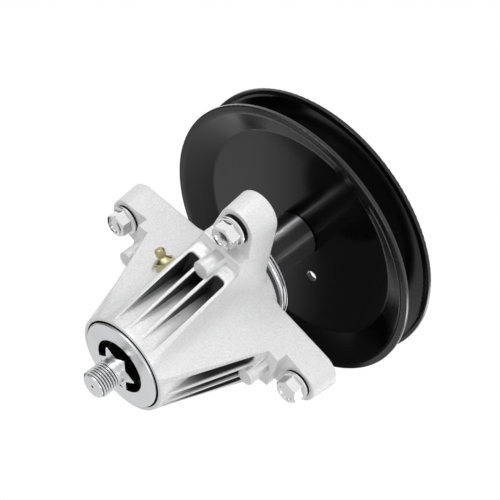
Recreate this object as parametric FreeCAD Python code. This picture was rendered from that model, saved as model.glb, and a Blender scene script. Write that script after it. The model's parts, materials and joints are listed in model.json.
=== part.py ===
import FreeCAD, Part
import math
import os

# Mower deck spindle. The underside of the ears, which seats on the deck, is z = 0.
# The shaft runs along z: pulley up, blade end down. The four legs lie along +X, +Y, -X and -Y.
# All sizes are in millimetres and degrees.

# Screws that hold the housing to the deck. They are only started in their holes, each turned its own way.
bolt_circle_d = 133.0
screw_d = 7.9
screw_length = 19.0
screw_flange_d = 17.0
screw_flange_h = 1.7
screw_hex_af = 12.7
screw_head_h = 7.9
screw_dish_d = 9.0
screw_dish_depth = 1.1
screw_stand_off = 1.2
loose_screw_stand_off = 2.6
screw_hex_angles = (0.5, 6.4, 9.0, 12.0)
screw_hole_clear = 0.06

# Ball bearings: plain single-row, sealed on both sides
bearing_bore_d = 20.0
bearing_od = 47.0
bearing_width = 14.0
ball_d = 7.94
ball_count = 8
ball_clear = 0.04
race_shoulder = 2.6
seal_thickness = 1.2
seal_inset = 0.3
seal_gap = 0.1
cage_thickness = 2.3
cage_rim = 0.8
cage_pocket_clear = 0.1
seat_clear = 0.02

# Cast housing
ear_thickness = 17.1
ear_end_r_top = 13.0
ear_end_r_seat = 11.2
pilot_gap = 4.0
pilot_drop = 6.4
ledge_width = 7.2
leg_drop = 58.6
leg_half_top = 15.2
leg_half_ledge = 14.6
leg_half_end = 16.3
valley_r = 20.0
end_wall = 2.1
cavity_step = 2.0
collar_wall = 8.4
collar_height = 3.0
collar_round = 1.2
neck_wall = 4.0
neck_height = 2.2
slot_rib = 1.9
slot_mid_half = 3.4
slot_top_drop = 6.8
slot_corner_r = 2.2
slot_floor_step = 0.6
boss_d = 10.0
boss_length = 13.4
boss_inset = 0.6

# Retaining ring below the lower bearing
ring_thickness = 1.5
ring_lip = 2.0
ring_groove_depth = 1.0
ring_gap_angle = 40.0
ring_clear = 0.05

# Blade end: threaded shaft, six-point star and blade seat
thread_d = 15.875
thread_length = 16.2
thread_chamfer = 1.4
relief_d = 15.0
relief_length = 4.7
centre_mark_d = 2.6
star_points = 6
star_tip_d = 27.3
star_valley_d = 16.6
star_tip_round = 0.6
star_proud = 4.5
star_angle = 15.0
star_recess_clear = 2.35
seat_overlap = 2.1
seat_gap = 0.8
seat_edge_h = 3.2
seat_edge_round = 0.6
seat_rim_proud = 1.9
seat_edge_proud = 1.6
seat_cup_wall = 2.0
seat_cup_floor = 2.0
hub_wall = 2.8

# Dust shield above the upper bearing
shield_sheet = 1.6
shield_height = 7.0
shield_lift = 0.9
shield_bead = 1.8
shield_waist = 1.0

# Pulley, sleeve and top nut
pulley_d = 171.45
pulley_plane_z = 72.9
rim_spacing = 22.4
sheet = 1.5
web_d = 132.4
lip_width = 4.2
bend_r = 2.5
web_hole_d = 7.0
web_hole_circle_d = 57.2
web_hole_angle = 138.0
sleeve_d = 28.6
sleeve_chamfer = 0.6
shoulder_recess = 1.0
washer_d = 34.0
washer_t = 2.5
nut_af = 23.8
nut_h = 13.5
nut_flange_d = 31.0
nut_flange_h = 2.5
nut_clear = 0.06
top_thread_proud = 3.0

# Grease fitting in the valley between two legs
fitting_drop = 17.6
fitting_angle = -45.0
fitting_seat_r = 31.0
fitting_spot_d = 15.0
fitting_thread_d = 9.9
fitting_thread_clear = 0.05
fitting_thread_length = 8.0
fitting_hex_af = 11.1
fitting_hex_h = 3.4
fitting_cone_h = 2.2
fitting_neck_d = 4.9
fitting_neck_h = 0.9
fitting_head_d = 5.7
fitting_head_h = 4.1
fitting_tip_d = 4.3
fitting_mouth_d = 2.0

# Levels and radii that follow from the sizes above
bolt_r = bolt_circle_d / 2
pilot_reach = bolt_r - screw_flange_d / 2 - pilot_gap
leg_reach = pilot_reach - ledge_width
ledge_z = -pilot_drop
end_z = ledge_z - leg_drop
race_r = bearing_od / 2
bore_r = bearing_bore_d / 2
seat_r = race_r + seat_overlap
core_r = seat_r + seat_gap + end_wall
recess_r = star_tip_d / 2 + star_recess_clear
seat_back_z = end_z - seat_edge_proud + seat_edge_h
cup_floor_z = seat_back_z + 1.0
cup_back_z = cup_floor_z + seat_cup_floor
ring_z = cup_back_z
lower_z = ring_z + ring_thickness
collar_z = ear_thickness + collar_height
neck_z = collar_z + neck_height
upper_z = neck_z - seal_inset * 2 - bearing_width
collar_r = race_r + collar_wall
shield_z = upper_z + bearing_width
shield_top_z = shield_z + shield_height
web_z = pulley_plane_z - sheet
web_top_z = pulley_plane_z + sheet
washer_top_z = web_top_z + washer_t
nut_top_z = washer_top_z + nut_h
star_z = end_z - star_proud
thread_end_z = star_z - thread_length
inner_fit_r = bore_r + seat_clear

LEGS = 4
STEP = 360.0 / LEGS
Z = FreeCAD.Vector(0, 0, 1)


def vec(x, y, z=0.0):
    return FreeCAD.Vector(x, y, z)


def polar(r, angle, z=0.0):
    a = math.radians(angle)
    return vec(r * math.cos(a), r * math.sin(a), z)


def outline(points, place):
    """Closed wire through 2-D points (a, b) or (a, b, corner radius), laid in space by place."""
    count = len(points)
    corners = []
    for i, here in enumerate(points):
        p = vec(here[0], here[1])
        radius = here[2] if len(here) > 2 else 0.0
        if radius <= 0:
            corners.append((p, None, p))
            continue
        before = vec(*points[i - 1][:2]).sub(p).normalize()
        after = vec(*points[(i + 1) % count][:2]).sub(p).normalize()
        half = before.getAngle(after) / 2
        reach = radius / math.tan(half)
        centre = p + (before + after).normalize() * (radius / math.sin(half))
        middle = centre + (p - centre).normalize() * radius
        corners.append((p + before * reach, middle, p + after * reach))
    edges = []
    for i, (start, middle, stop) in enumerate(corners):
        if middle is not None:
            edges.append(Part.Arc(place(start), place(middle), place(stop)).toShape())
        following = corners[(i + 1) % count][0]
        if stop.distanceToPoint(following) > 1e-6:
            edges.append(Part.makeLine(place(stop), place(following)))
    return Part.Wire(edges)


def turned(points):
    """Solid of revolution about z from a profile of (radius, height) points."""
    face = Part.Face(outline(points, lambda p: vec(p.x, 0, p.y)))
    return face.revolve(vec(0, 0), Z, 360)


def prism(points, z0, z1):
    """Straight prism over a flat outline of (x, y) points."""
    face = Part.Face(outline(points, lambda p: vec(p.x, p.y, z0)))
    return face.extrude(vec(0, 0, z1 - z0))


def hexagon(across_flats, angle=0.0):
    r = across_flats / math.sqrt(3)
    return [tuple(polar(r, angle + 60 * k))[:2] for k in range(6)]


def around(shape, angles):
    return [shape.rotated(vec(0, 0), Z, a) for a in angles]


def leg_line(root_half, end_r):
    """Side of a leg in plan as (intercept, slope): tangent to the ear's round end, through its root."""
    run = bolt_r - leg_reach
    reach = math.hypot(run, root_half)
    tilt = math.atan2(root_half, run) - math.asin(end_r / reach)
    slope = math.tan(tilt)
    return root_half + slope * leg_reach, slope


def cross_wire(z, line, reach, end_r=None):
    """Plan of the four legs at height z: straight or round leg ends, and a concave arc in each valley."""
    a, b = line
    norm = math.hypot(1, b)
    c = (a + valley_r * norm) / (1 + b)
    foot = vec(c - valley_r * b / norm, c - valley_r / norm, z)
    bottom = polar(math.hypot(c, c) - valley_r, 45, z)
    mirrored = vec(foot.y, foot.x, z)
    if end_r:
        tip = vec(bolt_r + end_r * b / norm, end_r / norm, z)
    else:
        tip = vec(reach, a - b * reach, z)
    low_tip, next_tip = vec(tip.x, -tip.y, z), vec(tip.y, tip.x, z)
    edges = []
    for turn in range(LEGS):
        if end_r:
            cap = Part.Arc(low_tip, vec(bolt_r + end_r, 0, z), tip).toShape()
        else:
            cap = Part.makeLine(low_tip, tip)
        quarter = [cap, Part.makeLine(tip, foot), Part.Arc(foot, bottom, mirrored).toShape(),
                   Part.makeLine(mirrored, next_tip)]
        edges += [e.rotated(vec(0, 0), Z, STEP * turn) for e in quarter]
    return Part.Wire(edges)


def ring_wire(z):
    """Round blade end, split into the same edges as the plan of the legs."""
    leg = math.degrees(math.asin(leg_half_end / core_r))
    side = (leg + STEP / 2) / 2
    marks = [(-leg, leg), (leg, side), (side, STEP - side), (STEP - side, STEP - leg)]
    edges = []
    for turn in range(LEGS):
        for start, stop in marks:
            pts = [polar(core_r, turn * STEP + a, z) for a in (start, (start + stop) / 2, stop)]
            edges.append(Part.Arc(*pts).toShape())
    return Part.Wire(edges)


def make_housing():
    top_line = leg_line(leg_half_top, ear_end_r_top)
    seat_line = leg_line(leg_half_ledge, ear_end_r_seat)
    skirt = Part.makeLoft([ring_wire(end_z), cross_wire(ledge_z, seat_line, leg_reach)], True, True)
    pilot = Part.Face(cross_wire(ledge_z, seat_line, pilot_reach)).extrude(vec(0, 0, pilot_drop))
    ears = Part.makeLoft([cross_wire(0, seat_line, 0, ear_end_r_seat),
                          cross_wire(ear_thickness, top_line, 0, ear_end_r_top)], True, True)
    collar = turned([(0, 0), (collar_r, 0), (collar_r, collar_z, collar_round),
                     (race_r + neck_wall, collar_z), (race_r + neck_wall, neck_z), (0, neck_z)])
    body = skirt.fuse([pilot, ears, collar]).removeSplitter()

    slot_top = ledge_z - slot_top_drop
    inner = slot_mid_half + slot_rib
    outer = leg_half_ledge - slot_rib
    core = Part.makeCylinder(core_r + slot_floor_step, leg_drop, vec(0, 0, end_z))
    slots = []
    for low, high in ((-outer, -inner), (-slot_mid_half, slot_mid_half), (inner, outer)):
        flat = outline([(low, end_z + 0.2), (high, end_z + 0.2), (high, slot_top, slot_corner_r),
                        (low, slot_top, slot_corner_r)], lambda p: vec(0, p.x, p.y))
        slots += around(Part.Face(flat).extrude(vec(pilot_reach + ledge_width, 0, 0)).cut(core),
                        [STEP * k for k in range(LEGS)])
    body = body.cut(slots)

    boss = Part.makeCylinder(boss_d / 2, boss_length, vec(leg_reach - boss_inset, 0, ledge_z - boss_length))
    body = body.fuse(around(boss, [STEP * k for k in range(LEGS)])).removeSplitter()

    fit_r = race_r + seat_clear
    groove_r = race_r + ring_groove_depth + ring_clear
    wide_r = seat_r + seat_gap
    cavity_r = race_r - cavity_step
    shoulder = lower_z + bearing_width
    cup_z = seat_back_z + seat_gap
    bore = turned([(0, end_z), (wide_r, end_z), (wide_r, cup_z), (fit_r, cup_z), (fit_r, ring_z - ring_clear),
                   (groove_r, ring_z - ring_clear), (groove_r, lower_z), (fit_r, lower_z), (fit_r, shoulder),
                   (cavity_r, shoulder), (cavity_r, upper_z), (fit_r, upper_z), (fit_r, neck_z), (0, neck_z)])
    drill = Part.makeCylinder(screw_d / 2 + screw_hole_clear, ear_thickness, vec(bolt_r, 0, 0))
    tap = Part.makeCylinder(fitting_thread_d / 2 + fitting_thread_clear, fitting_seat_r, vec(0, 0), vec(1, 0, 0))
    spot = Part.makeCylinder(fitting_spot_d / 2, bolt_r, vec(fitting_seat_r, 0), vec(1, 0, 0))
    port = tap.fuse(spot).rotated(vec(0, 0), Z, fitting_angle).translated(vec(0, 0, -fitting_drop))
    return body.cut([bore, port] + around(drill, [STEP * k for k in range(LEGS)])).removeSplitter()


def make_screws():
    head = prism(hexagon(screw_hex_af), -screw_head_h, 0)
    crown = turned([(0, -screw_head_h), (screw_hex_af / 2 - 0.1, -screw_head_h),
                    (screw_hex_af / 2 + 1.3, -screw_head_h + 0.9), (screw_hex_af / 2 + 1.3, 0), (0, 0)])
    dish = turned([(0, -screw_head_h), (screw_dish_d / 2, -screw_head_h),
                   (screw_dish_d / 2 - screw_dish_depth / 2, -screw_head_h + screw_dish_depth),
                   (0, -screw_head_h + screw_dish_depth)])
    flange = turned([(0, 0), (screw_flange_d / 2, 0), (screw_flange_d / 2, -screw_flange_h / 2),
                     (screw_hex_af / 2, -screw_flange_h), (0, -screw_flange_h)])
    shank = turned([(0, -screw_flange_h / 2), (screw_d / 2, -screw_flange_h / 2), (screw_d / 2, screw_length - 1),
                    (screw_d / 2 - 1, screw_length), (0, screw_length)])
    screw = head.common(crown).cut(dish).fuse([flange, shank]).removeSplitter()
    screws = []
    for k, angle in enumerate(screw_hex_angles):
        stand_off = screw_stand_off if k else loose_screw_stand_off
        placed = screw.rotated(vec(0, 0), Z, angle).translated(vec(bolt_r, 0, -stand_off))
        screws += around(placed, [STEP * k])
    return Part.makeCompound(screws)


def make_fitting():
    hex_top = fitting_hex_h
    neck_low = hex_top + fitting_cone_h
    neck_top = neck_low + fitting_neck_h
    tip = neck_top + fitting_head_h
    stem = turned([(0, -fitting_thread_length), (fitting_thread_d / 2 - 0.8, -fitting_thread_length),
                   (fitting_thread_d / 2, 0.8 - fitting_thread_length), (fitting_thread_d / 2, 0),
                   (fitting_hex_af / 2 - 0.4, 0), (fitting_hex_af / 2 - 0.4, hex_top),
                   (fitting_neck_d / 2, neck_low), (fitting_neck_d / 2, neck_top),
                   (fitting_head_d / 2, neck_top + fitting_head_h * 0.2),
                   (fitting_head_d / 2, neck_top + fitting_head_h * 0.75),
                   (fitting_tip_d / 2, tip), (0, tip)])
    nut = prism(hexagon(fitting_hex_af), 0, hex_top)
    mouth = Part.makeSphere(fitting_mouth_d / 2, vec(0, 0, tip))
    body = stem.fuse(nut).removeSplitter().cut(mouth)
    body.rotate(vec(0, 0), vec(0, 1, 0), 90)
    body.translate(vec(fitting_seat_r, 0))
    return body.rotated(vec(0, 0), Z, fitting_angle).translated(vec(0, 0, -fitting_drop))


def make_bearing(z):
    """Races, seals, cage and balls of one bearing whose lower face is at z."""
    pitch_r = (bore_r + race_r) / 2
    mid = z + bearing_width / 2
    top = z + bearing_width
    track = Part.makeTorus(pitch_r, ball_d / 2 + ball_clear, vec(0, 0, mid))
    inner_r = pitch_r - race_shoulder
    outer_r = pitch_r + race_shoulder
    inner = turned([(inner_fit_r, z), (inner_r, z, 0.5), (inner_r, top, 0.5), (inner_fit_r, top)]).cut(track)
    outer = turned([(outer_r, z), (race_r, z, 0.6), (race_r, top, 0.6), (outer_r, top)]).cut(track)
    seal = turned([(inner_r + seal_gap, 0), (outer_r - seat_clear, 0), (outer_r - seat_clear, seal_thickness),
                   (inner_r + seal_gap, seal_thickness)])
    cage_half = ball_d / 2 + cage_pocket_clear + cage_rim
    cage = turned([(pitch_r - cage_thickness / 2, mid - cage_half), (pitch_r + cage_thickness / 2, mid - cage_half),
                   (pitch_r + cage_thickness / 2, mid + cage_half), (pitch_r - cage_thickness / 2, mid + cage_half)])
    turns = [360.0 / ball_count * k for k in range(ball_count)]
    pocket = Part.makeCylinder(ball_d / 2 + cage_pocket_clear, race_r, vec(0, 0, mid), vec(1, 0, 0))
    ball = Part.makeSphere(ball_d / 2, vec(pitch_r, 0, mid))
    return {"inner_race": inner, "outer_race": outer, "ball_cage": cage.cut(around(pocket, turns)),
            "balls": Part.makeCompound(around(ball, turns)),
            "lower_seal": seal.translated(vec(0, 0, z + seal_inset)),
            "upper_seal": seal.translated(vec(0, 0, top - seal_inset - seal_thickness))}


def make_retaining_ring():
    outer = race_r + ring_groove_depth
    inner = race_r - ring_lip
    half = ring_gap_angle / 2
    face = Part.Face(Part.Wire([
        Part.Arc(polar(outer, half, ring_z), polar(outer, 180, ring_z), polar(outer, -half, ring_z)).toShape(),
        Part.makeLine(polar(outer, -half, ring_z), polar(inner, -half, ring_z)),
        Part.Arc(polar(inner, -half, ring_z), polar(inner, 180, ring_z), polar(inner, half, ring_z)).toShape(),
        Part.makeLine(polar(inner, half, ring_z), polar(outer, half, ring_z))]))
    return face.extrude(vec(0, 0, ring_thickness))


def make_shaft():
    thread_r = thread_d / 2
    shoulder = web_top_z - shoulder_recess
    end = nut_top_z + top_thread_proud
    mark = centre_mark_d / 2
    relief_r = relief_d / 2
    relief_z = star_z - relief_length
    bar = turned([(0, thread_end_z + mark), (mark, thread_end_z), (thread_r - thread_chamfer, thread_end_z),
                  (thread_r, thread_end_z + thread_chamfer), (thread_r, relief_z - thread_r + relief_r),
                  (relief_r, relief_z), (relief_r, cup_floor_z), (bore_r, cup_floor_z), (bore_r, shoulder),
                  (thread_r, shoulder), (thread_r, end - thread_chamfer), (thread_r - thread_chamfer, end), (0, end)])
    half = 180.0 / star_points
    star = []
    for k in range(star_points):
        turn = star_angle + 2 * half * k
        star += [tuple(polar(star_tip_d / 2, turn))[:2] + (star_tip_round,),
                 tuple(polar(star_valley_d / 2, turn + half))[:2]]
    return bar.fuse(prism(star, star_z, cup_floor_z)).removeSplitter()


def make_blade_seat():
    edge_z = end_z - seat_edge_proud
    rim_z = end_z - seat_rim_proud
    cup_r = recess_r + seat_cup_wall
    hub_r = bore_r + hub_wall
    return turned([(inner_fit_r, lower_z), (hub_r, lower_z), (hub_r, cup_back_z), (cup_r, cup_back_z),
                   (cup_r, seat_back_z), (seat_r, seat_back_z), (seat_r, edge_z, seat_edge_round),
                   (recess_r, rim_z), (recess_r, cup_floor_z), (inner_fit_r, cup_floor_z)])


def make_tube(inner, outer, z0, z1):
    c = sleeve_chamfer
    return turned([(inner, z0), (outer, z0, c), (outer, z1, c), (inner, z1)])


def make_shield():
    out = collar_r
    low = neck_z + shield_lift
    skirt_in = out - shield_waist - shield_sheet / 2
    under = shield_top_z - shield_sheet
    waist = (low + shield_top_z) / 2
    slack = (shield_top_z - low - 2 * shield_bead) / 4
    return turned([(inner_fit_r, shield_z), (bore_r + hub_wall, shield_z), (bore_r + hub_wall, under),
                   (skirt_in, under), (skirt_in, low), (out, low, shield_bead / 3),
                   (out, low + shield_bead, shield_bead / 3), (out - shield_waist, waist - slack),
                   (out - shield_waist, waist + slack), (out, shield_top_z - shield_bead, shield_bead / 3),
                   (out, shield_top_z, shield_bead / 3), (inner_fit_r, shield_top_z)])


def make_pulley_half():
    """Lower stamped half: flat web, sloping flange and flat lip, with the web hole through it."""
    rim_z = pulley_plane_z - rim_spacing / 2
    rim_r = pulley_d / 2
    web_r = web_d / 2
    lip_r = rim_r - lip_width
    shift = sheet * math.tan(math.atan2(web_z - rim_z, lip_r - web_r) / 2)
    edge = sheet * 0.4
    outer_bend = bend_r + sheet
    half = turned([(inner_fit_r, web_z), (web_r, web_z, bend_r), (lip_r, rim_z, outer_bend),
                   (rim_r, rim_z, edge), (rim_r, rim_z + sheet, edge), (lip_r + shift, rim_z + sheet, bend_r),
                   (web_r + shift, pulley_plane_z, outer_bend), (inner_fit_r, pulley_plane_z)])
    hole = Part.makeCylinder(web_hole_d / 2, 2 * sheet, polar(web_hole_circle_d / 2, web_hole_angle, web_z))
    return half.cut(hole)


def make_nut():
    hexa = prism(hexagon(nut_af), washer_top_z, nut_top_z)
    crown_r = nut_af / math.sqrt(3)
    crown = turned([(0, washer_top_z), (crown_r, washer_top_z), (crown_r, nut_top_z - 1),
                    (nut_af / 2 - 0.3, nut_top_z), (0, nut_top_z)])
    flange = turned([(0, washer_top_z), (nut_flange_d / 2, washer_top_z),
                     (nut_flange_d / 2, washer_top_z + nut_flange_h / 2), (nut_af / 2, washer_top_z + nut_flange_h),
                     (0, washer_top_z + nut_flange_h)])
    bore = Part.makeCylinder(thread_d / 2 + nut_clear, nut_h, vec(0, 0, washer_top_z))
    return hexa.common(crown).fuse(flange).cut(bore).removeSplitter()


pulley_lower = make_pulley_half()
nodes = {
    "spindle_housing": make_housing(),
    "mounting_screws": make_screws(),
    "grease_fitting": make_fitting(),
    "retaining_ring": make_retaining_ring(),
    "spindle_shaft": make_shaft(),
    "blade_seat_disc": make_blade_seat(),
    "bearing_spacer": make_tube(inner_fit_r, bore_r + hub_wall, lower_z + bearing_width, upper_z),
    "dust_shield": make_shield(),
    "pulley_sleeve": make_tube(inner_fit_r, sleeve_d / 2, shield_top_z, web_z),
    "pulley_lower_half": pulley_lower,
    "pulley_upper_half": pulley_lower.mirror(vec(0, 0, pulley_plane_z), Z),
    "pulley_washer": turned([(thread_d / 2 + nut_clear, web_top_z), (washer_d / 2, web_top_z),
                             (washer_d / 2, washer_top_z, 0.5), (thread_d / 2 + nut_clear, washer_top_z)]),
    "pulley_nut": make_nut(),
}
for side, z in (("lower_bearing", lower_z), ("upper_bearing", upper_z)):
    for name, shape in make_bearing(z).items():
        nodes[side + "_" + name] = shape

os.makedirs("parts", exist_ok=True)
for name, shape in nodes.items():
    shape.exportStep("parts/" + name + ".step")
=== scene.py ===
# %% [markdown]
# # Dressing a mower deck spindle
# The spindle is a cast housing with a shaft through it. A blade goes on below, and a belt pulley sits on top.
# Its solids come ready-made and in place. This lesson gives them their metal, paint and rubber,
# models the small parts that deserve finer work than a plain solid, and sets up the light and the camera.

# %% Load the part
import json
import math

import bmesh
import bpy
from mathutils import Matrix, Quaternion, Vector


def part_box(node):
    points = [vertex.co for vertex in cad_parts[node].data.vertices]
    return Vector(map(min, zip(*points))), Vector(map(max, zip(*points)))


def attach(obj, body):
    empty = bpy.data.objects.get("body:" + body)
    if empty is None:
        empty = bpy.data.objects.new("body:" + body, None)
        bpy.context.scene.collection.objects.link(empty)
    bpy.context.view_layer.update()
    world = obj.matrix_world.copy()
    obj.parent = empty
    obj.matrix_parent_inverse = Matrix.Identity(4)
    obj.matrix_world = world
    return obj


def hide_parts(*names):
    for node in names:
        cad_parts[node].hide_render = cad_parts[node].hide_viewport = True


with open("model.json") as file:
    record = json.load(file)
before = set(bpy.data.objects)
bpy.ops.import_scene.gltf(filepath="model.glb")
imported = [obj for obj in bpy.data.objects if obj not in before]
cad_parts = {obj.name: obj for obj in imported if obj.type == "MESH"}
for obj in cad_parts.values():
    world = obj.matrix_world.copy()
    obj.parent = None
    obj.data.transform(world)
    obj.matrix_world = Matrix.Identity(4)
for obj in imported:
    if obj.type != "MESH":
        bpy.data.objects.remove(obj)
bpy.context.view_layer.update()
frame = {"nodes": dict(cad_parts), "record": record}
nodes = frame["nodes"]

# %% [markdown]
# ## Shared effects: drift, grain and rings
# Real metal is never one even colour. A casting has a grain, sprayed paint has a skin and a lathe leaves rings.
# Each effect comes back on several finishes, so it is a node group that is built once and placed with its own
# values. A group could hold the whole shader too, but shaders stay in the materials, where each finish is
# easy to read. All groups read Object coordinates, so a pattern stays on its piece when the shaft turns.

# %% Mottle: a drift between two values
NOISE_LOW, NOISE_HIGH = 0.3, 0.7  # nearly all of a noise lies between these


def wire(tree, kind, inputs=None, **settings):
    """Adds a node, sets its properties and its inputs. An input is a value or another node's output socket."""
    node = tree.nodes.new(kind)
    for key, value in settings.items():
        setattr(node, key, value)
    for key, value in (inputs or {}).items():
        if isinstance(value, bpy.types.NodeSocket):
            tree.links.new(value, node.inputs[key])
        else:
            node.inputs[key].default_value = value
    return node


def new_group(name, inputs, output):
    """Starts a shader node group with float inputs and one float output."""
    tree = bpy.data.node_groups.new(name, "ShaderNodeTree")
    for label, value in inputs.items():
        tree.interface.new_socket(label, in_out="INPUT", socket_type="NodeSocketFloat").default_value = value
    tree.interface.new_socket(output, in_out="OUTPUT", socket_type="NodeSocketFloat")
    print("group", name, "takes", ", ".join(inputs), "and gives", output)
    return tree, tree.nodes.new("NodeGroupInput").outputs, tree.nodes.new("NodeGroupOutput").inputs[output]


mottle, given, result = new_group("mottle", {"Scale": 60.0, "Low": 0.3, "High": 0.4}, "Value")
place = wire(mottle, "ShaderNodeTexCoord").outputs["Object"]
cloud = wire(mottle, "ShaderNodeTexNoise", {"Vector": place, "Scale": given["Scale"], "Detail": 4.0})
spread = wire(mottle, "ShaderNodeMapRange", {"Value": cloud.outputs["Fac"],
                                             "From Min": NOISE_LOW, "From Max": NOISE_HIGH,
                                             "To Min": given["Low"], "To Max": given["High"]})
mottle.links.new(spread.outputs["Result"], result)

# %% Grain: the skin of a casting or of sprayed paint
grain, given, result = new_group("grain", {"Scale": 1500.0, "Roughness": 0.6}, "Height")
place = wire(grain, "ShaderNodeTexCoord").outputs["Object"]
speckle = wire(grain, "ShaderNodeTexNoise", {"Vector": place, "Scale": given["Scale"], "Detail": 3.0,
                                             "Roughness": given["Roughness"]})
grain.links.new(speckle.outputs["Fac"], result)


# %% Lathe rings: fine grooves that depend only on the distance from the shaft's axis and on the height
def position(tree):
    """The X, Y and Z of a point of the part. The shaft's axis is the z axis."""
    place = wire(tree, "ShaderNodeTexCoord").outputs["Object"]
    return wire(tree, "ShaderNodeSeparateXYZ", {"Vector": place}).outputs


def distance(tree, x, y):
    """How far a flat point lies from the middle."""
    flat = wire(tree, "ShaderNodeCombineXYZ", {"X": x, "Y": y}).outputs["Vector"]
    return wire(tree, "ShaderNodeVectorMath", {0: flat}, operation="LENGTH").outputs["Value"]


rings, given, result = new_group("lathe_rings", {"Scale": 2500.0}, "Height")
point = position(rings)
away = distance(rings, point["X"], point["Y"])
pair = wire(rings, "ShaderNodeCombineXYZ", {"X": away, "Y": point["Z"]}).outputs["Vector"]
groove = wire(rings, "ShaderNodeTexNoise", {"Vector": pair, "Scale": given["Scale"], "Detail": 2.0})
rings.links.new(groove.outputs["Fac"], result)

# %% [markdown]
# ## Shared effects: masks for a second colour
# Some corners of the real part lie in deep shade: the slots of the legs, the ears under the screw heads and
# the recess that holds the star. That shade is painted into the colour here. Each dark place could be a piece with
# a material of its own, which would cut the casting into many pieces. A mask that knows where a point lies keeps the
# casting whole. The zone is a ring about the shaft. The slots and the ears repeat on four legs along x and y, so
# their masks fold all legs onto one.


# %% Zone: 1 inside a range of radius and height about the shaft's axis, 0 outside, with a soft border
def maths(tree, operation, *values):
    """A Math node on up to three values."""
    return wire(tree, "ShaderNodeMath", dict(enumerate(values)), operation=operation).outputs[0]


def ramp(tree, value, low, high):
    """A smooth step from 0 at low to 1 at high. It falls where low lies above high."""
    return wire(tree, "ShaderNodeMapRange", {"Value": value, "From Min": low, "From Max": high},
                interpolation_type="SMOOTHSTEP").outputs["Result"]


def times(tree, *values):
    """The product of several values."""
    product = values[0]
    for value in values[1:]:
        product = maths(tree, "MULTIPLY", product, value)
    return product


zone, given, result = new_group("zone", {"Radius Low": 0.0, "Radius High": 1.0, "Height Low": -1.0,
                                         "Height High": 1.0, "Border": 0.0003}, "Mask")
point = position(zone)
away = distance(zone, point["X"], point["Y"])
inside = []
for measure, low, high in ((away, "Radius Low", "Radius High"), (point["Z"], "Height Low", "Height High")):
    begun = maths(zone, "ADD", given[low], given["Border"])
    ended = maths(zone, "ADD", given[high], given["Border"])
    inside += [ramp(zone, measure, given[low], begun), ramp(zone, measure, ended, given[high])]
zone.links.new(times(zone, *inside), result)

# %% Slot shade: 1 on the walls and floor of the slots, fading out towards the blade end
MM = 0.001
LEG_FACE, LEG_FACE_AT, LEG_SLOPE = 46.8 * MM, -6.4 * MM, 0.3123
SLOT_HALF, FLOOR_BORDER = 13.0 * MM, 0.4 * MM
VALUE_A, VALUE_B, VALUE_OUT = 2, 3, 0  # a Mix node's sockets for values


def on_leg(tree, point):
    """How far out along its leg a point lies, and how far off the leg's middle."""
    sides = [maths(tree, "ABSOLUTE", point[axis]) for axis in "XY"]
    return maths(tree, "MAXIMUM", *sides), maths(tree, "MINIMUM", *sides)


# Painted shade: the mask darkens the slots' walls and floors, fully towards the pulley end and fading out towards the
# blade end.
painted_slot_shade, given, result = new_group("slot_shade", {"Shallow": 0.0005, "Deep": 0.002, "Floor Radius": 0.0292,
                                                "Wall Low": -0.064, "Wall High": -0.036,
                                                "Floor Low": -0.036, "Floor High": -0.016}, "Mask")
point = position(painted_slot_shade)
height = point["Z"]
along, across = on_leg(painted_slot_shade, point)
face = maths(painted_slot_shade, "MULTIPLY_ADD", height, LEG_SLOPE, LEG_FACE - LEG_FACE_AT * LEG_SLOPE)
sunken = ramp(painted_slot_shade, maths(painted_slot_shade, "SUBTRACT", face, along), given["Shallow"], given["Deep"])
floor_end = maths(painted_slot_shade, "ADD", given["Floor Radius"], FLOOR_BORDER)
on_wall = ramp(painted_slot_shade, distance(painted_slot_shade, point["X"], point["Y"]), given["Floor Radius"], floor_end)
fade = wire(painted_slot_shade, "ShaderNodeMix", {"Factor": on_wall,
                                     VALUE_A: ramp(painted_slot_shade, height, given["Floor Low"], given["Floor High"]),
                                     VALUE_B: ramp(painted_slot_shade, height, given["Wall Low"], given["Wall High"])},
            data_type="FLOAT").outputs[VALUE_OUT]
between = maths(painted_slot_shade, "LESS_THAN", across, SLOT_HALF)
below = maths(painted_slot_shade, "LESS_THAN", height, LEG_FACE_AT)
painted_slot_shade.links.new(times(painted_slot_shade, sunken, fade, between, below), result)

# %% Shade under the heads: 1 on the ears close to a screw's axis, where painted shade darkens the ear under each flange
heads, given, result = new_group("shade_under_heads", {"Circle": 0.0665, "Radius": 0.0082, "Border": 0.0005}, "Mask")
along, across = on_leg(heads, position(heads))
off_circle = maths(heads, "SUBTRACT", along, given["Circle"])
outer = maths(heads, "ADD", given["Radius"], given["Border"])
heads.links.new(ramp(heads, distance(heads, off_circle, across), outer, given["Radius"]), result)

# %% [markdown]
# ## Finishes
# The housing is cast aluminium, the screws and the nut are zinc plated, the fitting is yellow zinc, the shaft is
# turned, the dust shield is polished and the pulley is gloss black. Each could be a material drawn by hand.
# But all of them are a Principled shader whose colour and roughness drift a little and whose highlights are
# broken up by a fine bump, so one function lays the nodes and only the values differ. On the casting the drift
# is as fine as its grain, which gives the speckled look of bare cast metal.

# %% One function for every finish, and the casting's
COLOUR_DRIFT, CAST_SPECKLE, ROUGHNESS_DRIFT = 45.0, 950.0, 110.0
COLOUR_A, COLOUR_B, COLOUR_OUT = 6, 7, 2  # a Mix node's sockets for colours


def set_group(tree, group, inputs):
    """Places a group in a material with its own values."""
    return wire(tree, "ShaderNodeGroup", inputs, node_tree=group)


def mix_colours(tree, factor, first, second):
    """Goes from the first colour to the second as the factor goes from 0 to 1."""
    return wire(tree, "ShaderNodeMix", {"Factor": factor, COLOUR_A: first, COLOUR_B: second},
                data_type="RGBA").outputs[COLOUR_OUT]


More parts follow.
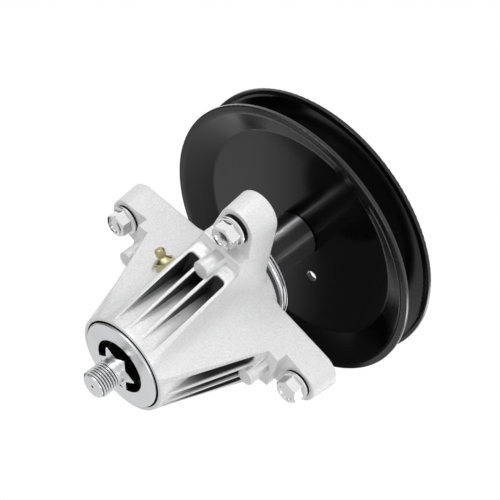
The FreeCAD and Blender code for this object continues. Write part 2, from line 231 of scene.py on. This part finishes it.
def finish(name, dark, light, metallic, roughness, skin, skin_scale, skin_height, drift=COLOUR_DRIFT):
    """A finish whose colour drifts from dark to light, whose roughness drifts, and whose skin is a bump."""
    made = bpy.data.materials.new(name)
    made.use_nodes = True
    tree = made.node_tree
    shader = tree.nodes["Principled BSDF"]
    shader.inputs["Metallic"].default_value = metallic
    tint = set_group(tree, mottle, {"Scale": drift, "Low": 0.0, "High": 1.0}).outputs["Value"]
    tree.links.new(mix_colours(tree, tint, (*dark, 1), (*light, 1)), shader.inputs["Base Color"])
    rough = set_group(tree, mottle, {"Scale": ROUGHNESS_DRIFT, "Low": roughness[0], "High": roughness[1]})
    tree.links.new(rough.outputs["Value"], shader.inputs["Roughness"])
    texture = set_group(tree, skin, {"Scale": skin_scale}).outputs["Height"]
    bump = wire(tree, "ShaderNodeBump", {"Height": texture, "Strength": 1.0, "Distance": skin_height})
    tree.links.new(bump.outputs["Normal"], shader.inputs["Normal"])
    return made


finishes = {"cast_aluminium": finish("cast_aluminium", (0.81, 0.81, 0.815), (0.95, 0.95, 0.95), 0.30, (0.42, 0.52),
                                     grain, 1300.0, 0.00009, CAST_SPECKLE)}
print("first finish:", *finishes)

# %% The other finishes: dark colour, light colour, metal share, roughness, skin with its scale and height
recipes = {
    "zinc_steel": ((0.78, 0.78, 0.79), (0.86, 0.86, 0.86), 1.0, (0.16, 0.22), grain, 900.0, 0.000004),
    "yellow_zinc": ((0.44, 0.41, 0.20), (0.72, 0.66, 0.42), 1.0, (0.30, 0.38), grain, 900.0, 0.00001),
    "dark_steel": ((0.095, 0.095, 0.098), (0.125, 0.125, 0.128), 1.0, (0.37, 0.40), grain, 1500.0, 0.000004),
    "turned_steel": ((0.82, 0.83, 0.84), (0.90, 0.90, 0.91), 1.0, (0.30, 0.36), rings, 2600.0, 0.000006),
    "polished_steel": ((0.78, 0.78, 0.80), (0.85, 0.85, 0.86), 1.0, (0.05, 0.09), rings, 1800.0, 0.000003),
    "black_paint": ((0.0014, 0.0014, 0.0015), (0.002, 0.002, 0.0021), 0.0, (0.14, 0.18), grain, 500.0, 0.000002),
    "bearing_steel": ((0.66, 0.67, 0.68), (0.74, 0.75, 0.76), 1.0, (0.12, 0.18), rings, 3000.0, 0.000005),
    "cage_steel": ((0.50, 0.50, 0.51), (0.58, 0.58, 0.58), 1.0, (0.28, 0.36), grain, 1500.0, 0.00001),
    "seal_rubber": ((0.022, 0.022, 0.023), (0.034, 0.034, 0.035), 0.0, (0.55, 0.70), grain, 2200.0, 0.00002),
}
finishes.update({name: finish(name, *recipe) for name, recipe in recipes.items()})
print("finishes:", sorted(finishes))

# %% [markdown]
# ## The blackened sleeve
# The sleeve under the pulley was turned and then blackened. Its tool marks run round it and draw every highlight
# out along the axis. The marks could be a bump, but they are finer than a pixel and would only flicker.
# Anisotropy stretches the highlight itself, and a quarter turn lays it along the axis.

# %% Stretch the sleeve's highlights
ALONG_AXIS = 0.25
sleeve_shader = finishes["dark_steel"].node_tree.nodes["Principled BSDF"]
sleeve_shader.inputs["Anisotropic"].default_value = 1.0
sleeve_shader.inputs["Anisotropic Rotation"].default_value = ALONG_AXIS
print("highlights stretched on", finishes["dark_steel"].name)

# %% [markdown]
# ## Second colours
# Now the masks get their work. A second colour is mixed over a finish wherever a mask is 1. A second shader
# would do as well, but a mixed colour keeps one shader per finish, and several masks can follow one another.


# %% Lay the dark places
def overlay(made, group, inputs, colour):
    """Lays a second colour over a finish where the group's mask is 1."""
    tree = made.node_tree
    base = tree.nodes["Principled BSDF"].inputs["Base Color"]
    mask = set_group(tree, group, inputs).outputs["Mask"]
    tree.links.new(mix_colours(tree, mask, base.links[0].from_socket, (*colour, 1)), base)


def ring(radius_low, radius_high, height_low, height_high, border):
    """The inputs of a zone."""
    return {"Radius Low": radius_low, "Radius High": radius_high, "Height Low": height_low,
            "Height High": height_high, "Border": border}


FINE, SOFT, NO_LIMIT = 0.0001, 0.0003, 1.0
# Painted shade: every row but the screw shanks darkens a place where shade falls on the real part. The screw shanks
# are coloured near-black from the flange gaps up.
dark_places = (
    # Painted shade in the slots
    ("painted_slot_shade", "cast_aluminium", painted_slot_shade, {}, (0.05, 0.05, 0.051)),
    # Painted shade under the screw flanges
    ("painted shade under the screw heads", "cast_aluminium", heads, {}, (0.006, 0.006, 0.006)),
    # Painted shade in the gap between the seat disc and the housing's bore
    ("painted shade in the bore behind the star", "cast_aluminium", zone, ring(0.0, 0.02645, -0.0660, -0.0500, SOFT),
     (0.006, 0.006, 0.006)),
    ("screw shanks", "zinc_steel", zone, ring(0.0550, 0.0780, -0.0011, 0.0200, FINE), (0.01, 0.01, 0.01)),
    # Painted shade in the recess and on the star's sides within it
    ("painted shade in the recess round the star", "turned_steel", zone, ring(0.0079, 0.0160, -0.0693, -0.0550, FINE),
     (0.02, 0.02, 0.02)),
    # Painted shade on the seat disc's edge, in the gap to the housing
    ("painted shade on the seat disc's edge", "turned_steel", zone, ring(0.0254, NO_LIMIT, -0.0652, -0.0500, FINE),
     (0.01, 0.01, 0.01)),
    # Painted shade in the roots of the blade-end thread
    ("painted shade in the thread roots", "turned_steel", zone, ring(0.0060, 0.0071, -0.0850, -0.0748, SOFT),
     (0.08, 0.08, 0.08)),
    # Painted shade inside the lathe's centre mark
    ("centre mark", "turned_steel", zone, ring(-0.001, 0.0007, -NO_LIMIT, -0.0800, SOFT), (0.05, 0.05, 0.05)),
    # Painted shadow line round the sleeve's end, where it meets the web
    ("painted shadow line at the sleeve's end", "dark_steel", zone, ring(0.0120, NO_LIMIT, 0.0706, 0.0720, FINE), (0.002, 0.002, 0.002)),
)
for label, name, group, inputs, colour in dark_places:
    overlay(finishes[name], group, inputs, colour)
print("dark places:", [row[0] for row in dark_places])

# %% [markdown]
# ## Dressing the solids
# Each solid of the real part is made of one material, and the record says which. The finishes could be handed
# out one by one, but a loop over the record can't forget a bearing ball that nobody sees.

# %% Every solid gets the finish that the record names for it
for part in frame["record"]["subparts"]:
    solid = nodes[part["node"]]
    solid.data.materials.clear()
    solid.data.materials.append(finishes[part["material_slot"]])

# %% [markdown]
# ## The cast housing
# The real housing is poured metal, so none of its outer edges is knife sharp. A Bevel modifier on the solid
# would also round the bored seats inside, which are machined. So a copy of the solid is merged, its flat faces
# are joined up, and only the outward edges of the cast skin are rounded. Every new piece, this one too, is put in
# the scene by one function that also says which body it rides on and which solid it stands for.

# %% Putting a piece in the scene
MERGE = 1e-6
CREASE = math.radians(34)


def close(mesh):
    """Merges what coincides and turns every face outwards."""
    bmesh.ops.remove_doubles(mesh, verts=mesh.verts, dist=MERGE)
    bmesh.ops.recalc_face_normals(mesh, faces=mesh.faces)
    return mesh


def add_piece(name, mesh, body, slot, *solids):
    """Puts a finished mesh in the scene, gives it its finish, and lets it stand for the plain solids."""
    for face in close(mesh).faces:
        face.smooth = True
    data = bpy.data.meshes.new(name)
    mesh.to_mesh(data)
    mesh.free()
    data.set_sharp_from_angle(angle=CREASE)
    data.materials.append(finishes[slot])
    piece = bpy.data.objects.new(name, data)
    bpy.context.scene.collection.objects.link(piece)
    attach(piece, body)
    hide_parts(*solids)
    print(name, "has", len(data.polygons), "faces")
    return piece


print("edges past", round(math.degrees(CREASE)), "degrees stay sharp")

# %% Round the cast edges
CAST_ROUND, CAST_INNER, CAST_TOP = 0.6 * MM, 28.6 * MM, 17.5 * MM
CAST_MERGE, FLAT, SHARP = 2e-6, math.radians(0.6), math.radians(28)


def on_cast_skin(edge):
    """True outside the bored seats."""
    middle = (edge.verts[0].co + edge.verts[1].co) / 2
    return middle.xy.length > CAST_INNER or middle.z > CAST_TOP


casting = bmesh.new()
casting.from_mesh(nodes["spindle_housing"].data)
bmesh.ops.remove_doubles(casting, verts=casting.verts, dist=CAST_MERGE)
bmesh.ops.dissolve_limit(casting, angle_limit=FLAT, verts=casting.verts, edges=casting.edges,
                         use_dissolve_boundaries=False)
outward = [edge for edge in casting.edges if edge.is_manifold and edge.is_convex and on_cast_skin(edge)
           and edge.calc_face_angle() > SHARP]
bmesh.ops.bevel(casting, geom=outward, offset=CAST_ROUND, offset_type="OFFSET", affect="EDGES", segments=2,
                profile=0.5, material=-1, clamp_overlap=False, loop_slide=True)
housing = add_piece("cast_housing", casting, "housing", "cast_aluminium", "spindle_housing")
even = housing.modifiers.new("even_shading", "WEIGHTED_NORMAL")
even.keep_sharp = True

# %% [markdown]
# ## The shaft
# The solids are plain where a workshop would cut a thread, break an edge or press a dish, so those parts are
# modelled again. Most of them come off a lathe. A cylinder would do for a plain bar, but a line of a few points
# that is spun about the axis gives the shoulders and chamfers too, and serves every other turned part below.

# %% Turn the bar
STAR_FACE, STAR_BACK = -69.5, -62.4
RELIEF_RADIUS, RELIEF_LENGTH = 7.5, 4.7
BAR_RADIUS, BAR_SHOULDER, BAR_CHAMFER, BAR_END = 10.0, 73.4, 0.5, 74.9
thread_end = STAR_FACE - RELIEF_LENGTH


def lathe(profile, steps=72):
    """Turns a line of (radius, height) points, in millimetres, once round the z axis."""
    mesh = bmesh.new()
    points = [mesh.verts.new((radius * MM, 0, height * MM)) for radius, height in profile]
    lines = [mesh.edges.new(pair) for pair in zip(points, points[1:])]
    bmesh.ops.spin(mesh, geom=points + lines, cent=(0, 0, 0), axis=(0, 0, 1), steps=steps, angle=math.tau,
                   use_merge=True)
    return close(mesh)


bar = lathe([(0, thread_end - 0.6), (RELIEF_RADIUS, thread_end - 0.6),
             (RELIEF_RADIUS, STAR_BACK), (BAR_RADIUS, STAR_BACK), (BAR_RADIUS, BAR_SHOULDER - BAR_CHAMFER),
             (BAR_RADIUS - BAR_CHAMFER, BAR_SHOULDER), (RELIEF_RADIUS, BAR_SHOULDER),
             (RELIEF_RADIUS - 0.4, BAR_END), (0, BAR_END)])
print("bar has", len(bar.faces), "faces")

# %% [markdown]
# ## The star
# Near the blade end, a six-point star drives the blade. It could be drawn corner by corner. Here it starts as a
# circle of twelve corners that is pulled up into a prism. Every other corner is then drawn in, and the tips are
# rounded with a bevel. The hexagons of the screws and the nut start from the same prism later.


# %% Upright prisms
def turned(degrees, axis="Z"):
    """A rotation about one axis."""
    return Matrix.Rotation(math.radians(degrees), 4, axis)


def corners_of(geometry):
    """The vertices among what an operator returns."""
    return [item for item in geometry if isinstance(item, bmesh.types.BMVert)]


def prism(corners, radius, angle, low, high):
    """An upright prism over a regular outline: the first corner lies at the angle, in degrees."""
    mesh = bmesh.new()
    turn = Matrix.Translation((0, 0, low * MM)) @ turned(angle - 90)
    bmesh.ops.create_circle(mesh, cap_ends=True, segments=corners, radius=radius * MM, matrix=turn)
    raised = bmesh.ops.extrude_face_region(mesh, geom=mesh.faces[:])
    bmesh.ops.translate(mesh, verts=corners_of(raised["geom"]), vec=(0, 0, (high - low) * MM))
    return close(mesh)


STAR_CORNERS, STAR_TIP, STAR_ANGLE = 12, 13.65, 15.0
star = prism(STAR_CORNERS, STAR_TIP, STAR_ANGLE, STAR_FACE, STAR_BACK)
print("prism with", STAR_CORNERS, "corners")

# %% Draw in the valleys and round the tips
STAR_VALLEY, STAR_ROUND = 8.3, 0.8
STAR_STEP = 360 / STAR_CORNERS


def in_valley(corner):
    """True for every other corner, between two tips."""
    angle = math.degrees(math.atan2(corner.co.y, corner.co.x))
    return round((angle - STAR_ANGLE) / STAR_STEP) % 2 == 1


def upright(mesh):
    """The edges of a prism that run along z."""
    return [edge for edge in mesh.edges if (edge.verts[0].co - edge.verts[1].co).xy.length < MERGE / 10]


def break_edges(mesh, edges, offset, segments):
    """Rounds some edges, by an offset in millimetres."""
    bmesh.ops.bevel(mesh, geom=edges, offset=offset * MM, offset_type="OFFSET", affect="EDGES", segments=segments,
                    profile=0.5, material=-1)


pull = STAR_VALLEY / STAR_TIP
bmesh.ops.scale(star, vec=(pull, pull, 1), verts=[corner for corner in star.verts if in_valley(corner)])
tips = [edge for edge in upright(star) if not in_valley(edge.verts[0])]
break_edges(star, tips, STAR_ROUND, 3)
print("star with", len(tips), "tips")

# %% [markdown]
# ## The threads
# Both ends of the shaft carry a fine thread. It could be a Screw modifier, but a spin that climbs a little with
# every step gives the same spiral and leaves a mesh that can be trimmed flat at both ends. The crests are then
# pressed in towards the ends, as the chamfer of a real thread does.

# %% Cut the threads
THREAD_DEPTH = 0.541  # of the pitch
TRIM = 1e-8


def thread(crest, pitch, low, high, lead_low=0.0, lead_high=0.0, steps=40):
    """A right-hand thread as a closed rod between two heights, in millimetres, with tapered leads."""
    root = crest - THREAD_DEPTH * pitch
    tooth = [(root, 0), (root, 0.25), (crest, 0.5625), (crest, 0.6875), (root, 1)]
    turns = math.ceil((high - low) / pitch) + 2
    mesh = bmesh.new()
    points = [mesh.verts.new((radius * MM, 0, (low + (share - 1.5) * pitch) * MM)) for radius, share in tooth]
    lines = [mesh.edges.new(pair) for pair in zip(points, points[1:])]
    bmesh.ops.spin(mesh, geom=points + lines, cent=(0, 0, 0), axis=(0, 0, 1), dvec=(0, 0, pitch / steps * MM),
                   steps=steps * turns, angle=math.tau * turns)
    bmesh.ops.remove_doubles(mesh, verts=mesh.verts, dist=MERGE)
    for height, facing in ((low, -1), (high, 1)):
        bmesh.ops.bisect_plane(mesh, geom=mesh.verts[:] + mesh.edges[:] + mesh.faces[:], dist=TRIM,
                               plane_co=(0, 0, height * MM), plane_no=(0, 0, facing), clear_outer=True)
    bmesh.ops.holes_fill(mesh, edges=[edge for edge in mesh.edges if edge.is_boundary], sides=0)
    for vertex in mesh.verts:
        radius, height = vertex.co.xy.length / MM, vertex.co.z / MM
        limit = min(crest - lead_low + (height - low), crest - lead_high + (high - height))
        if radius > limit:
            vertex.co.xy *= limit / radius
    return close(mesh)


THREAD_CREST, THREAD_PITCH, THREAD_LEAD, THREAD_RUN_OUT = 7.9375, 1.5875, 1.4, 0.5
end_low, end_high = (corner.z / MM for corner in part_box("spindle_shaft"))
blade_thread = thread(THREAD_CREST, THREAD_PITCH, end_low, thread_end, THREAD_LEAD, THREAD_RUN_OUT)
nut_thread = thread(THREAD_CREST, THREAD_PITCH, BAR_SHOULDER + 0.5, end_high, lead_high=THREAD_LEAD)
print("shaft runs from", round(end_low, 2), "to", round(end_high, 2), "mm")

# %% [markdown]
# ## The united shaft
# The real shaft is one piece of steel. The bar, the star and the threads could be left to overlap, but then faces
# would be hidden inside. Boolean modifiers unite them, and one cuts the lathe's centre mark into the blade end.


# %% Unite the shaft
def combine(base, other, operation="UNION"):
    """Joins, cuts or intersects two closed shapes with a Boolean modifier and returns what comes out."""
    pair = []
    for shape in (base, other):
        data = bpy.data.meshes.new("working")
        shape.to_mesh(data)
        shape.free()
        pair.append(bpy.data.objects.new("working", data))
        bpy.context.scene.collection.objects.link(pair[-1])
    step = pair[0].modifiers.new("combine", "BOOLEAN")
    step.object, step.operation, step.solver = pair[1], operation, "EXACT"
    mesh = bmesh.new()
    mesh.from_object(pair[0], bpy.context.evaluated_depsgraph_get())
    for shape in pair:
        bpy.data.objects.remove(shape)
    return close(mesh)


centre_mark = lathe([(0, end_low - 0.3), (1.2, end_low - 0.3), (0, end_low + 0.9)], 32)
shaft = combine(combine(combine(bar, star), combine(blade_thread, centre_mark, "DIFFERENCE")), nut_thread)
add_piece("threaded_shaft", shaft, "rotor", "turned_steel", "spindle_shaft")

# %% [markdown]
# ## Screws and nut
# A hexagon head is forged: its corners are cut back by a cone, and a shallow dish is pressed into its top.
# Bevelling six corners by hand gives straight cuts, so the hexagon is intersected with a turned blank instead,
# which leaves the curved facets of a real head. One screw is made on the axis and then copied into each ear.
# The copies could be an Array modifier, but each screw is turned and screwed in a little differently.

# %% Screw head and shank
HEX_ROUND = 0.25
SCREW_FLATS, SCREW_TOP, SCREW_CREST, SCREW_PITCH, SCREW_LENGTH = 12.7, -7.9, 3.95, 1.411, 19.0


def hexagon(across_flats, low, high, blank):
    """A hexagon with slightly broken corners, kept only where the turned blank is."""
    head = prism(6, across_flats / math.sqrt(3), 0.0, low, high)
    break_edges(head, upright(head), HEX_ROUND, 2)
    return combine(head, lathe(blank), "INTERSECT")


head = hexagon(SCREW_FLATS, SCREW_TOP, -0.4, [
    (0, -6.8), (3.6, -6.8), (4.2, -7.1), (4.5, SCREW_TOP), (6.2, SCREW_TOP), (6.9, -7.55), (7.7, -6.9),
    (7.7, 0), (0, 0)])
flange = lathe([(0, -1.7), (6.2, -1.7), (7.6, -1.4), (8.3, -1.1), (8.5, -0.9), (8.5, -0.1), (8.4, 0), (0, 0)])
shank = thread(SCREW_CREST, SCREW_PITCH, -0.5, SCREW_LENGTH, lead_high=0.9, steps=32)
screw = combine(combine(head, flange), shank)
print("one screw has", len(screw.faces), "faces")

# %% Four flange screws
SCREW_CIRCLE = 66.5
SCREW_TURNS = (0.5, 6.4, 9.0, 12.0)
SCREW_STAND_OFFS = (2.6, 1.2, 1.2, 1.2)

pattern = screw.verts[:] + screw.edges[:] + screw.faces[:]
for quarter, (turn, stand_off) in enumerate(zip(SCREW_TURNS, SCREW_STAND_OFFS)):
    into_ear = Matrix.Translation((SCREW_CIRCLE * MM, 0, -stand_off * MM))
    twin = bmesh.ops.duplicate(screw, geom=pattern)["geom"]
    bmesh.ops.transform(screw, matrix=turned(90 * quarter) @ into_ear @ turned(turn), verts=corners_of(twin))
bmesh.ops.delete(screw, geom=corners_of(pattern), context="VERTS")
add_piece("flange_screws", screw, "housing", "zinc_steel", "mounting_screws")

# %% Pulley nut
NUT_FLATS = 23.8
nut_low, nut_high = (corner.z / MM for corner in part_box("pulley_nut"))
nut = hexagon(NUT_FLATS, nut_low + 0.5, nut_high, [
    (0, nut_low), (13.8, nut_low), (13.8, nut_high - 1.0), (13.0, nut_high - 0.5), (11.7, nut_high), (0, nut_high)])
skirt = lathe([(0, nut_low), (15.5, nut_low), (15.5, nut_low + 1.0), (15.1, nut_low + 1.5), (12.0, nut_low + 2.5),
               (0, nut_low + 2.5)])
bore = lathe([(0, nut_low - 1), (8.0, nut_low - 1), (8.0, nut_high - 0.8), (8.9, nut_high + 0.1),
              (8.9, nut_high + 1), (0, nut_high + 1)])
add_piece("flange_nut", combine(combine(nut, skirt), bore, "DIFFERENCE"), "rotor", "zinc_steel", "pulley_nut")

# %% [markdown]
# ## Grease fitting
# A fitting takes the grease gun: a hexagon to screw it in by, a waist, and a small bead that the gun grips.
# The bead could be a sphere, but the whole stem is one turned line, as on the real fitting. It is made upright
# on the axis, where a lathe works, and then laid into the valley between two legs.

# %% Grease fitting in its valley
FITTING_SEAT, FITTING_ANGLE, FITTING_HEIGHT = 31.0, -45.0, -17.6
FITTING_FLATS, FITTING_HEX = 11.1, 3.4
body = hexagon(FITTING_FLATS, 0.0, FITTING_HEX,
               [(0, 0), (6.4, 0), (6.4, 2.9), (5.6, FITTING_HEX), (0, FITTING_HEX)])
stem = lathe([(0, -8.0), (4.15, -8.0), (4.95, -7.2), (4.95, 0.4), (5.1, 0.4), (5.1, 3.3), (4.8, 3.5), (2.6, 5.4),
              (2.45, 5.7), (2.45, 6.3), (2.55, 6.5), (2.85, 7.2), (2.85, 9.4), (2.75, 9.7), (2.15, 10.6), (1.1, 10.6),
              (0.9, 10.2), (0, 10.0)], 48)
nipple = combine(body, stem)
into_valley = (Matrix.Translation((0, 0, FITTING_HEIGHT * MM)) @ turned(FITTING_ANGLE)
               @ Matrix.Translation((FITTING_SEAT * MM, 0, 0)) @ turned(90, "Y"))
bmesh.ops.transform(nipple, matrix=into_valley, verts=nipple.verts)
add_piece("grease_nipple", nipple, "housing", "yellow_zinc", "grease_fitting")

# %% [markdown]
# ## Rims of the pulley
# The edge of each stamped half is folded back into the groove, so the rim is nearly twice as thick as the sheet.
# A Solidify modifier would thicken the whole dish, and the web has to stay thin. So only the fold is made, as a
# ring that is turned like the other round parts and sits on the sheet's edge.

# %% Folded rims
RIM_RADIUS, FOLD_INNER, FOLD_THICK, FOLD_STEPS = 85.70, 83.2, 2.7, 180
fold_line = [(FOLD_INNER, 0.9), (RIM_RADIUS, 0.7), (RIM_RADIUS, FOLD_THICK - 0.4),
             (RIM_RADIUS - 0.12, FOLD_THICK - 0.12), (RIM_RADIUS - 0.4, FOLD_THICK),
             (FOLD_INNER + 0.3, FOLD_THICK), (FOLD_INNER, FOLD_THICK - 0.3), (FOLD_INNER, 0.9)]
for name, half, face, inward in (("lower_fold", "pulley_lower_half", 0, 1),
                                 ("upper_fold", "pulley_upper_half", 1, -1)):
    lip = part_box(half)[face].z / MM
    fold = lathe([(radius, lip + inward * height) for radius, height in fold_line], FOLD_STEPS)
    add_piece(name, fold, "rotor", "black_paint")

# %% [markdown]
# ## Camera
# The photograph looks up at the blade side, and the spindle leans across the picture. The camera could track an
# empty, but then its roll would be lost. So it is set by its direction, its roll and a point to aim at.

# %% Camera
PHOTO_AZIMUTH, PHOTO_ELEVATION, PHOTO_ROLL = (math.radians(angle) for angle in (108.70, -32.32, 53.62))
PHOTO_AIM = Vector((0.00753, -0.00633, 0.03594))
PHOTO_DISTANCE, PHOTO_LENS, PHOTO_SENSOR = 0.720, 93.6, 36.0

back = Vector((math.sin(PHOTO_AZIMUTH) * math.cos(PHOTO_ELEVATION),
               -math.cos(PHOTO_AZIMUTH) * math.cos(PHOTO_ELEVATION), math.sin(PHOTO_ELEVATION)))
camera = bpy.data.objects.new("photo_camera", bpy.data.cameras.new("photo_camera"))
camera.data.lens = PHOTO_LENS
camera.data.sensor_width = PHOTO_SENSOR
camera.rotation_mode = "QUATERNION"
camera.location = PHOTO_AIM + back * PHOTO_DISTANCE
camera.rotation_quaternion = (-back).to_track_quat("-Z", "Y") @ Quaternion((0, 0, 1), PHOTO_ROLL)
bpy.context.scene.collection.objects.link(camera)
bpy.context.scene.camera = camera
print("camera at", [round(v, 3) for v in camera.location])

# %% [markdown]
# ## World
# A studio is white all round, but a white world strong enough to look white would wash out the casting. Turning
# the world down would make the background grey. Light Path parts the two: the camera and mirroring surfaces see
# white, and the part is lit by about half of it.

# %% White background, softer light
WORLD_LIGHT, WORLD_SEEN = 0.52, 1.0
world = bpy.data.worlds.new("studio")
bpy.context.scene.world = world
world.use_nodes = True
sky = world.node_tree
sky.nodes.clear()
path = wire(sky, "ShaderNodeLightPath").outputs
seen = maths(sky, "MAXIMUM", maths(sky, "MAXIMUM", path["Is Camera Ray"], path["Is Glossy Ray"]),
             path["Is Transmission Ray"])
strength = wire(sky, "ShaderNodeMapRange", {"Value": seen, "To Min": WORLD_LIGHT, "To Max": WORLD_SEEN})
glow = wire(sky, "ShaderNodeBackground", {"Color": (1, 1, 1, 1), "Strength": strength.outputs["Result"]})
wire(sky, "ShaderNodeOutputWorld", {"Surface": glow.outputs["Background"]})
print("world lights with", WORLD_LIGHT, "and is seen as", WORLD_SEEN)

# %% [markdown]
# ## Lamps
# Soft square lamps model the casting: a key from the upper left, a strip from above and a broad one from the side.
# A fourth stands behind the part and draws the bright line along the rims. The long highlight on the sleeve is
# harder, because the pulley's rim keeps the soft light out. A stronger strip would burn out the ears, so two
# narrow beams are linked to the sleeve and light nothing else.

# %% Soft lamps
right = camera.rotation_quaternion @ Vector((1, 0, 0))
up = camera.rotation_quaternion @ Vector((0, 1, 0))


def hang(lamp, target, sideways, upwards, towards):
    """Places a lamp as a photographer would, so far right, up and towards the camera, and aims it."""
    lamp.location = target + right * sideways + up * upwards + back * towards
    lamp.rotation_mode = "QUATERNION"
    lamp.rotation_quaternion = (target - lamp.location).to_track_quat("-Z", "Y")
    bpy.context.scene.collection.objects.link(lamp)
    print(lamp.name, "lamp at", [round(v, 3) for v in lamp.location])


def softbox(name, offset, size, watts):
    """A square soft lamp on the whole part."""
    lamp = bpy.data.objects.new(name, bpy.data.lights.new(name, "AREA"))
    lamp.data.size = size
    lamp.data.energy = watts
    hang(lamp, PHOTO_AIM, *offset)


softbox("key", (-0.35, 0.335, 0.76), 0.3, 1.4)
softbox("strip", (-0.03, 0.67, 0.60), 0.25, 1.0)
softbox("side", (0.50, -0.30, 0.70), 0.4, 1.2)
softbox("rim", (0.655, -0.415, -0.456), 0.3, 0.9)

# %% Two beams on the sleeve
SLEEVE_MIDDLE = Vector((0, 0, 0.052))
BEAM_ANGLE, BEAM_BLEND = math.radians(5.5), 0.4
sleeve_only = bpy.data.collections.new("sleeve_only")
sleeve_only.objects.link(nodes["pulley_sleeve"])


def snoot(name, offset, radius, watts):
    """A narrow beam that lights the sleeve and nothing else."""
    lamp = bpy.data.objects.new(name, bpy.data.lights.new(name, "SPOT"))
    lamp.data.energy = watts
    lamp.data.spot_size = BEAM_ANGLE
    lamp.data.spot_blend = BEAM_BLEND
    lamp.data.shadow_soft_size = radius
    lamp.light_linking.receiver_collection = sleeve_only
    hang(lamp, SLEEVE_MIDDLE, *offset)


snoot("streak", (-0.240, 0.379, 0.399), 0.09, 160.0)
snoot("fill", (0.285, -0.282, 0.446), 0.14, 24.0)

# %% [markdown]
# ## Floor
# The part hangs where its deck would hold it, so a plain pale paper lies well below. Polished metal would mirror
# the paper's shaded grey, so mirroring surfaces see it as an even tone instead. A paper that glows for every ray
# would be simpler, but then it would light the part from below and lose its shadow.

# %% Pale floor
FLOOR_DROP, FLOOR_HALF, PAPER, PAPER_MIRRORED = 0.80, 12.0, 0.9, 0.75


def blank_material(name):
    """A material with an empty node tree."""
    made = bpy.data.materials.new(name)
    made.use_nodes = True
    made.node_tree.nodes.clear()
    return made


def add_stage(name, mesh, material):
    """Puts a piece of the studio in the scene, apart from the part itself."""
    data = bpy.data.meshes.new(name)
    mesh.to_mesh(data)
    mesh.free()
    data.materials.append(material)
    piece = bpy.data.objects.new(name, data)
    bpy.context.scene.collection.objects.link(piece)
    print("stage:", name)
    return piece


def grey(level):
    """An even grey."""
    return level, level, level, 1


pale = blank_material("floor_paper")
paper = pale.node_tree
path = wire(paper, "ShaderNodeLightPath").outputs
matt = wire(paper, "ShaderNodeBsdfDiffuse", {"Color": grey(PAPER)}).outputs["BSDF"]
plain = wire(paper, "ShaderNodeEmission", {"Color": grey(PAPER_MIRRORED)}).outputs["Emission"]
mix = wire(paper, "ShaderNodeMixShader", {0: path["Is Glossy Ray"], 1: matt, 2: plain}).outputs["Shader"]
wire(paper, "ShaderNodeOutputMaterial", {"Surface": mix})
floor_mesh = bmesh.new()
bmesh.ops.create_grid(floor_mesh, x_segments=1, y_segments=1, size=FLOOR_HALF,
                      matrix=Matrix.Translation((0, 0, -FLOOR_DROP)))
add_stage("floor", floor_mesh, pale)

# %% [markdown]
# ## Black cards
# Gloss black paint has hardly a colour of its own: it shows what stands round it. In an all-white studio it looks
# grey, so a photographer holds black cards where the paint would mirror white. Darker paint would not help.
# The cards have soft edges and one face, and only mirroring surfaces see them.

# %% A card before the web
CARD_EDGE = 0.16
UNIT_SQUARE = 0.5  # half the side


def black_card(name, corner, along, across, soft=(CARD_EDGE,) * 4, level=0.0):
    """A soft-edged dark card from a corner along two sides, seen only in mirroring surfaces."""
    board = blank_material(name)
    tree = board.node_tree
    place = wire(tree, "ShaderNodeSeparateXYZ", {"Vector": wire(tree, "ShaderNodeTexCoord").outputs["UV"]}).outputs
    edges = [ramp(tree, place["X"], 0.0, soft[0]), ramp(tree, place["X"], 1.0, 1.0 - soft[1]),
             ramp(tree, place["Y"], 0.0, soft[2]), ramp(tree, place["Y"], 1.0, 1.0 - soft[3])]
    front = maths(tree, "SUBTRACT", 1.0, wire(tree, "ShaderNodeNewGeometry").outputs["Backfacing"])
    clear = wire(tree, "ShaderNodeBsdfTransparent").outputs["BSDF"]
    black = wire(tree, "ShaderNodeEmission", {"Color": grey(level)}).outputs["Emission"]
    mix = wire(tree, "ShaderNodeMixShader", {0: times(tree, front, *edges), 1: clear, 2: black}).outputs["Shader"]
    wire(tree, "ShaderNodeOutputMaterial", {"Surface": mix})
    mesh = bmesh.new()
    mesh.loops.layers.uv.new("card")
    middle = Matrix.Translation(corner + (along + across) / 2)
    sides = Matrix((along, across, along.cross(across).normalized())).transposed().to_4x4()
    bmesh.ops.create_grid(mesh, x_segments=1, y_segments=1, size=UNIT_SQUARE, matrix=middle @ sides, calc_uvs=True)
    card = add_stage(name, mesh, board)
    card.visible_camera = card.visible_diffuse = card.visible_shadow = card.visible_transmission = False


black_card("web_card", Vector((0.035, -0.090, 0.025)), Vector((0.0126, 0.132, 0)), Vector((-0.205, 0.040, 0)),
           soft=(0.64, 0.06, 0.06, 0.06), level=0.06)

# %% Two cards beside the flange and the groove
black_card("flange_card", Vector((-0.65, -0.30, -0.26)), Vector((0, 0, 0.36)), Vector((0.42, 0, 0)))
black_card("groove_card", Vector((-0.12, -0.30, -0.30)), Vector((0, 0, 0.34)), Vector((0.40, 0, 0)))

# %% [markdown]
# ## View transform
# Colours render through the Standard view transform.

# %% View transform
bpy.context.scene.view_settings.view_transform = "Standard"
